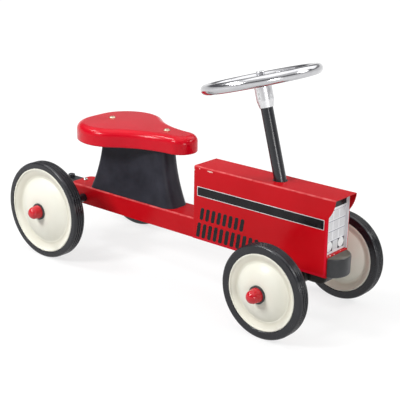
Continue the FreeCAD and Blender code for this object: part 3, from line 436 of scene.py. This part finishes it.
bars = []
for low, high in zip(grille_rows, grille_rows[1:]):
    for left, right in zip(grille_columns, grille_columns[1:]):
        count = int((right - left - bar_pitch) / bar_pitch)
        start = (left + right - (count - 1) * bar_pitch - bar_width) / 2
        for number in range(count):
            edge = start + number * bar_pitch
            bars.append(oblong(edge, low + bar_foot_gap, edge + bar_width, high - bar_head_gap))
for number in range(middle_bars):
    edge = (number - middle_bars // 2) * bar_pitch - bar_width / 2
    bars.append(oblong(edge, middle_bars_low, edge + bar_width, grille_rows[0] - bar_head_gap))
lines = [oblong(grille_columns[0], row - row_line, grille_columns[-1], row) for row in grille_rows[:-1]]
for number in range(dashes):
    start = grille_columns[0] + number * dash_pitch
    lines.append(oblong(start, grille_rows[-1] - row_line, start + dash_length, grille_rows[-1]))
dark_areas = [oblong(-head_band_half_width, head_band_low, head_band_half_width, head_band_high)]
lamps = []
for middle in (-lamp_across, lamp_across):
    dark_areas.append(oblong(middle - lamp_cell, lamp_above - lamp_cell, middle + lamp_cell,
                             lamp_above + lamp_cell_head))
    lamps.append(ring(middle, lamp_above, lamp_radius))
ink_grey = mottled_finish(
    "printed_grey", patch=0.03, dark=(0.56, 0.56, 0.57, 1), light=(0.63, 0.63, 0.64, 1),
    roughness=(0.32, 0.42), gloss=0.3)
ink_slate = mottled_finish(
    "printed_slate", patch=0.01, dark=(0.10, 0.10, 0.16, 1), light=(0.17, 0.17, 0.24, 1),
    roughness=(0.32, 0.42), gloss=0.3)
lamp_white = mottled_finish(
    "printed_lamp_white", patch=0.03, dark=(0.82, 0.82, 0.82, 1), light=(0.90, 0.90, 0.90, 1),
    roughness=(0.25, 0.35), gloss=0.3)
for print_name, outlines, ink, thickness in (
        ("grille_bars", bars, ink_grey, ink_thickness),
        ("grille_lines", lines, ink_slate, ink_thickness),
        ("grille_dark_print", dark_areas, ink_black, ink_thickness),
        ("grille_lamps", lamps, lamp_white, 2 * ink_thickness)):
    add_piece(print_film(print_name, outlines, on_grille, thickness), ink, "chassis")

# Bumper: a half-round block of black rubber, bolted to the frame's front wall from inside.
# Its skin is satin, and its flat top is a paler brown.
bumper_top = 22.0
top_band_depth = 1.2
bumper_dark = (0.018, 0.019, 0.021, 1)
bumper_light = (0.030, 0.031, 0.034, 1)
bumper_patch = 0.03
bumper_roughness = (0.34, 0.44)
bumper_roughness_patch = 0.01
top_brown = (0.088, 0.081, 0.062, 1)
skin_size = 0.0012
skin_depth = 0.00003
bumper_rubber = new_finish("bumper_rubber", gloss=0.4)
tree = bumper_rubber.node_tree
# A paler brown over the flat top, 1.2 mm deep.
top_band = add_node(tree, "MapRange", {
    "Value": frame_height(tree), "From Min": (bumper_top - top_band_depth) * millimetre,
    "From Max": bumper_top * millimetre})
rubber = blend_colours(tree, mottle(tree, bumper_patch), bumper_dark, bumper_light)
feed(bumper_rubber, "Base Color", blend_colours(tree, top_band.outputs["Result"], rubber, top_brown))
feed(bumper_rubber, "Roughness", mottle(tree, bumper_roughness_patch, *bumper_roughness))
relief(bumper_rubber, mottle(tree, skin_size), skin_depth)
dress(bumper_rubber, "front_bumper")
dress(zinc, "bumper_bolts")

# Skid block: a moulded block of black plastic, plugged into the frame's open underside behind the bumper.
# It shows as a dark band below the hood, and stands clear of the axle's swing.
skid_half_width = 28.0
skid_rear = 553.0
skid_front = 583.6
skid_low = -28.4
skid_top = -4.0
skid_heel = 5.0
skid_toe = 14.0
block_edge_round = 1.5
edge_segments = 4
sharp_angle = math.radians(50)
block_plastic = mottled_finish(
    "block_plastic", patch=0.02, dark=(0.008, 0.0075, 0.007, 1), light=(0.014, 0.013, 0.012, 1),
    roughness=(0.36, 0.46), gloss=0.3)


def rounded_slab(name, outline, place, thickness, edge_round):
    """A thick plate with its rims rounded, laid by a function of two places and a height."""
    build = bmesh.new()
    caps = raise_outline(build, outline, place, thickness)
    bmesh.ops.recalc_face_normals(build, faces=build.faces)
    rims = list({edge for cap in caps for edge in cap.edges})
    bmesh.ops.bevel(build, geom=rims, offset=edge_round * millimetre, segments=edge_segments, profile=0.5,
                    affect="EDGES")
    mesh = built_mesh(name, build)
    mesh.shade_smooth()
    mesh.set_sharp_from_angle(angle=sharp_angle)
    return mesh


def arc(x, y, radius, start, end, steps=10):
    """Points of an arc about a centre, between two angles in degrees."""
    turn = [math.radians(start + (end - start) * step / steps) for step in range(steps + 1)]
    return [(x + radius * math.cos(angle), y + radius * math.sin(angle)) for angle in turn]


def across_frame(along, above, height):
    """A point of the skid block, its height measured across the frame from the block's right side."""
    return on_frame(along, height - skid_half_width, above)


skid_side = (arc(skid_rear + skid_heel, skid_low + skid_heel, skid_heel, 180, 270)
             + arc(skid_front - skid_toe, skid_low + skid_toe, skid_toe, 270, 360)
             + [(skid_front, skid_top), (skid_rear, skid_top)])
skid_block = rounded_slab("skid_block", skid_side, across_frame, 2 * skid_half_width, block_edge_round)
add_piece(skid_block, block_plastic, "chassis")

# Hitch: a flat steel strap under the frame's top, with a domed post riveted through its end.
# Strap and post are in black enamel, and a zinc-plated bolt with a nut below holds them.
black_enamel = mottled_finish(
    "black_enamel", patch=0.05, dark=(0.007, 0.0075, 0.010, 1), light=(0.013, 0.014, 0.019, 1),
    roughness=(0.22, 0.30), gloss=0.5)
orange_peel(black_enamel)
dress(black_enamel, "hitch_strap", "hitch_post")
dress(zinc, "hitch_bolt", "hitch_nut")

# Column bearings: two moulded bushes of black nylon, one under the hood's top and one under the frame's.
# The column runs in their slanted bores, on a thrust washer of the same nylon.
bearing_nylon = mottled_finish(
    "bearing_nylon", patch=0.01, dark=(0.008, 0.008, 0.009, 1), light=(0.016, 0.016, 0.017, 1),
    roughness=(0.35, 0.5), gloss=0.3)
dress(bearing_nylon, "upper_column_bush", "lower_column_bearing", "thrust_washer")

# Axles: plain steel rods, each with two black spacer tubes that hold the wheels out from the frame.
# The ends are hidden in the caps.
dress(zinc, "rear_axle", "front_axle")
dress(black_enamel, "rear_spacers", "front_spacers")

# Steering column: a steel tube in black enamel, welded to the bracket that holds the front axle.
# A moulded saddle fills the bracket round the axle, with a nose ahead of it.
# A zinc clip above the frame keeps the column from dropping.
dress(black_enamel, "steering_column", "front_axle_bracket")
dress(zinc, "column_clip")
front_axle = Vector(joints["front_wheel_left_spin"]["pos_m"])
column_axis = Vector(joints["steer"]["axis"]).normalized()
column_forward = to_left.cross(column_axis)
saddle_half_width = 19.0
saddle_radius = 16.0
saddle_top = 7.5
nose_half_width = 10.0
nose_reach = 30.0
nose_low = -9.5
nose_high = 4.0
nose_corner = 5.0
nose_edge_round = 1.2


def about_axle(forward, up, half_width):
    """A function that lays the side of a block about the front axle, along two directions."""
    def lay(along, above, height):
        return front_axle + (forward * along + up * above + to_left * (height - half_width)) * millimetre
    return lay


saddle_angle = math.degrees(math.asin(saddle_top / saddle_radius))
saddle_side = arc(0, 0, saddle_radius, 180 - saddle_angle, 360 + saddle_angle, steps=28)
on_saddle = about_axle(column_forward, column_axis, saddle_half_width)
axle_saddle = rounded_slab("axle_saddle", saddle_side, on_saddle, 2 * saddle_half_width, block_edge_round)
add_piece(axle_saddle, block_plastic, "steering")
nose_side = rounded_bar(0, nose_low, nose_reach, nose_high, nose_corner)
on_nose = about_axle(frame_forward, frame_up, nose_half_width)
saddle_nose = rounded_slab("axle_saddle_nose", nose_side, on_nose, 2 * nose_half_width, nose_edge_round)
add_piece(saddle_nose, block_plastic, "steering")

# Steering wheel: a chromed tube rim on a flat chromed spider, clamped by a round nut on the column's stud.
# The boss below is turned from alloy, with fine tool marks round it and two zinc set screws.
chrome = mottled_finish(
    "chrome", patch=0.03, dark=(0.47, 0.47, 0.485, 1), light=(0.54, 0.54, 0.555, 1),
    roughness=(0.13, 0.18), metal=1.0)
dress(chrome, "steering_rim", "steering_spider", "steering_nut")
boss_alloy = mottled_finish(
    "boss_alloy", patch=0.005, dark=(0.62, 0.62, 0.63, 1), light=(0.70, 0.70, 0.71, 1),
    roughness=(0.30, 0.40), metal=1.0)
mark_pitch = 0.0008
mark_depth = 0.000008
tree = boss_alloy.node_tree
along_column = add_node(tree, "VectorMath", {0: object_place(tree), 1: column_axis}, operation="DOT_PRODUCT")
mark_phase = add_node(tree, "Math", {0: along_column.outputs["Value"], 1: 2 * math.pi / mark_pitch},
                      operation="MULTIPLY")
tool_marks = add_node(tree, "Math", {0: mark_phase.outputs[0]}, operation="SINE")
relief(boss_alloy, tool_marks.outputs[0], mark_depth)
dress(boss_alloy, "steering_boss")
dress(zinc, "boss_set_screw")

# Wheels: a solid black rubber tyre on a cream plastic disc, which turns on a nylon bush.
# A dark grey washer and a pressed-on red cap keep each wheel on its axle.
tyre_rubber = mottled_finish(
    "tyre_rubber", patch=0.03, dark=(0.0045, 0.0048, 0.0075, 1), light=(0.0095, 0.010, 0.0142, 1),
    roughness=(0.23, 0.29), gloss=0.45)
cream_dark = (0.76, 0.745, 0.645, 1)
cream_light = (0.80, 0.79, 0.705, 1)
# Painted shade: a darker beige laid in the groove inside each disc's rim.
cream_painted_shade = (0.60, 0.565, 0.46, 1)
painted_shade_share = 0.5
groove_inside = (0.765, 0.80)
groove_outside = (0.83, 0.94)
cream_patch = 0.06
cream_roughness = (0.28, 0.40)
cream_roughness_patch = 0.03
disc_ripple_size = 0.02
disc_ripple_depth = 0.00006
rear_disc_radius = 0.083
front_disc_radius = 0.068


def disc_finish(name, centre, radius):
    """Cream plastic with painted shade, a darker beige, in the groove inside the rim of a disc with a centre
    and a radius.
    """
    material = new_finish(name, gloss=0.3)
    tree = material.node_tree
    away = add_node(tree, "VectorMath", {0: object_place(tree), 1: centre}, operation="SUBTRACT")
    flat = add_node(tree, "VectorMath", {0: away.outputs["Vector"], 1: (1 / radius, 0, 1 / radius)},
                    operation="MULTIPLY")
    share = add_node(tree, "VectorMath", {0: flat.outputs["Vector"]}, operation="LENGTH").outputs["Value"]
    inner = add_node(tree, "MapRange", {
        "Value": share, "From Min": groove_inside[0], "From Max": groove_inside[1],
        "To Min": 0.0, "To Max": painted_shade_share})
    outer = add_node(tree, "MapRange", {
        "Value": share, "From Min": groove_outside[0], "From Max": groove_outside[1],
        "To Min": painted_shade_share, "To Max": 0.0})
    groove = add_node(tree, "Math", {0: inner.outputs["Result"], 1: outer.outputs["Result"]},
                      operation="MINIMUM")
    cream = blend_colours(tree, mottle(tree, cream_patch), cream_dark, cream_light)
    # Painted shade in the groove inside the rim.
    feed(material, "Base Color", blend_colours(tree, groove.outputs[0], cream, cream_painted_shade))
    feed(material, "Roughness", mottle(tree, cream_roughness_patch, *cream_roughness))
    relief(material, mottle(tree, disc_ripple_size, detail=2), disc_ripple_depth)
    return material


washer_plastic = mottled_finish(
    "washer_plastic", patch=0.006, dark=(0.035, 0.038, 0.040, 1), light=(0.065, 0.07, 0.072, 1),
    roughness=(0.36, 0.48), gloss=0.3)
cap_plastic = mottled_finish(
    "cap_plastic", patch=0.012, dark=(0.50, 0.003, 0.011, 1), light=(0.60, 0.005, 0.017, 1),
    roughness=(0.10, 0.16), gloss=0.5)
for axle, centre, disc_radius in (("rear", rear_axle, rear_disc_radius),
                                  ("front", front_axle, front_disc_radius)):
    disc_plastic = disc_finish(axle + "_disc_plastic", centre, disc_radius)
    for side_name in ("left", "right"):
        dress(tyre_rubber, "%s_tyre_%s" % (axle, side_name))
        dress(disc_plastic, "%s_disc_%s" % (axle, side_name))
        dress(bearing_nylon, "%s_bush_%s" % (axle, side_name))
    dress(washer_plastic, axle + "_washers")
    dress(cap_plastic, axle + "_hub_caps")

# Studio: a pale floor that keeps a soft shadow, a white surround, and soft lamps above and round the toy.
# The floor and the surround show white to the camera and in reflections, and light the toy only a little.
floor_reach = 9.0
floor_grey = (0.45, 0.45, 0.45, 1)
shadow_grey = (0.26, 0.26, 0.26, 1)
white = (1, 1, 1, 1)
glow_near_toy = 0.74
glow_far_off = 0.96
glow_start = 0.45
glow_end = 1.6
floor_mesh = bpy.data.meshes.new("studio_floor")
floor_corners = [(x * floor_reach, y * floor_reach, 0) for x, y in ((-1, -1), (1, -1), (1, 1), (-1, 1))]
floor_mesh.from_pydata(floor_corners, [], [(0, 1, 2, 3)])
floor = bpy.data.objects.new("studio_floor", floor_mesh)
bpy.context.scene.collection.objects.link(floor)


def seen_directly(tree):
    """A mask of the rays that show the studio itself: camera, mirror and glass rays."""
    path = add_node(tree, "LightPath")
    camera_or_mirror = add_node(tree, "Math", {
        0: path.outputs["Is Camera Ray"], 1: path.outputs["Is Glossy Ray"]}, operation="MAXIMUM")
    any_of_three = add_node(tree, "Math", {
        0: camera_or_mirror.outputs[0], 1: path.outputs["Is Transmission Ray"]}, operation="MAXIMUM")
    return any_of_three.outputs[0]


floor_paint = bpy.data.materials.new("studio_floor")
floor_paint.use_nodes = True
tree = floor_paint.node_tree
tree.nodes.remove(tree.nodes["Principled BSDF"])
plain = add_node(tree, "BsdfDiffuse", {"Color": floor_grey})
shaded = add_node(tree, "BsdfDiffuse", {"Color": shadow_grey})
away = add_node(tree, "VectorMath", {0: object_place(tree)}, operation="LENGTH")
level = add_node(tree, "MapRange", {
    "Value": away.outputs["Value"], "From Min": glow_start, "From Max": glow_end,
    "To Min": glow_near_toy, "To Max": glow_far_off})
glow = add_node(tree, "Emission", {"Color": white, "Strength": level.outputs["Result"]})
lifted = add_node(tree, "AddShader", {0: shaded.outputs[0], 1: glow.outputs[0]})
shown = add_node(tree, "MixShader", {0: seen_directly(tree), 1: plain.outputs[0], 2: lifted.outputs[0]})
tree.links.new(shown.outputs[0], tree.nodes["Material Output"].inputs["Surface"])
floor_mesh.materials.append(floor_paint)

ambient_grey = (0.17, 0.17, 0.17, 1)
wall_grey = (0.14, 0.14, 0.15, 1)
backdrop_heights = (0.12, 0.24)
canopy_heights = (0.42, 0.70)
canopy_share = 0.9
world = bpy.data.worlds.new("studio")
bpy.context.scene.world = world
world.use_nodes = True
tree = world.node_tree
background = tree.nodes["Background"]
direction = add_node(tree, "SeparateXYZ", {"Vector": add_node(tree, "TexCoord").outputs["Generated"]})
backdrop = add_node(tree, "MapRange", {
    "Value": direction.outputs["Z"], "From Min": backdrop_heights[0], "From Max": backdrop_heights[1],
    "To Min": 1.0, "To Max": 0.0})
canopy = add_node(tree, "MapRange", {
    "Value": direction.outputs["Z"], "From Min": canopy_heights[0], "From Max": canopy_heights[1],
    "To Min": 0.0, "To Max": canopy_share})
pale = add_node(tree, "Math", {0: backdrop.outputs["Result"], 1: canopy.outputs["Result"]},
                operation="MAXIMUM")
surround = blend_colours(tree, pale.outputs[0], wall_grey, white)
tree.links.new(blend_colours(tree, seen_directly(tree), ambient_grey, surround), background.inputs["Color"])
background.inputs["Strength"].default_value = 1.0

for name, place, target, size, power in (
        ("overhead_lamp", (0.0, 0.1, 2.2), (0.0, 0.0, 0.15), 2.0, 14.0),
        ("rear_lamp", (-1.22, -0.73, 1.81), (0.1, 0.0, 0.2), 0.45, 14.5),
        ("key_lamp", (-0.62, -1.8, 1.5), (0.0, 0.0, 0.15), 0.55, 37.5),
        ("front_lamp", (1.5, 0.95, 1.4), (0.2, 0.0, 0.15), 0.6, 17.0),
        ("fill_lamp", (1.95, -0.95, 0.5), (0.2, 0.0, 0.12), 0.5, 11.0),
        ("far_lamp", (0.3, 1.9, 1.9), (0.0, 0.0, 0.15), 1.6, 13.0)):
    lamp = bpy.data.lights.new(name, "AREA")
    lamp.size = size
    lamp.energy = power
    stand = bpy.data.objects.new(name, lamp)
    stand.location = place
    stand.rotation_euler = (Vector(target) - Vector(place)).to_track_quat("-Z", "Y").to_euler()
    bpy.context.scene.collection.objects.link(stand)

# Camera: stands ahead of the toy and to its right, a little above, as in the photograph.
# Its place and turn were found by fitting the wheels, hood and seat.
camera_place = Vector((rear_axle.x + 1.46471, -1.43168, 0.80770))
camera_yaw = math.radians(39.65)
camera_pitch = math.radians(19.39)
camera_roll = math.radians(2.28)
focal_length_in_frames = 2.649
sensor_width = 36.0
level_ahead = Vector((-math.sin(camera_yaw), math.cos(camera_yaw), 0))
level_right = Vector((math.cos(camera_yaw), math.sin(camera_yaw), 0))
ahead = level_ahead * math.cos(camera_pitch) - Vector((0, 0, math.sin(camera_pitch)))
level_up = level_right.cross(ahead)
camera_right = level_right * math.cos(camera_roll) + level_up * math.sin(camera_roll)
camera_up = level_up * math.cos(camera_roll) - level_right * math.sin(camera_roll)
lens = bpy.data.cameras.new("camera")
lens.sensor_width = sensor_width
lens.lens = focal_length_in_frames * sensor_width
camera = bpy.data.objects.new("camera", lens)
camera_turn = Matrix((camera_right, camera_up, -ahead)).transposed()
camera.matrix_world = Matrix.Translation(camera_place) @ camera_turn.to_4x4()
bpy.context.scene.collection.objects.link(camera)
bpy.context.scene.camera = camera
bpy.context.scene.view_settings.view_transform = "Standard"
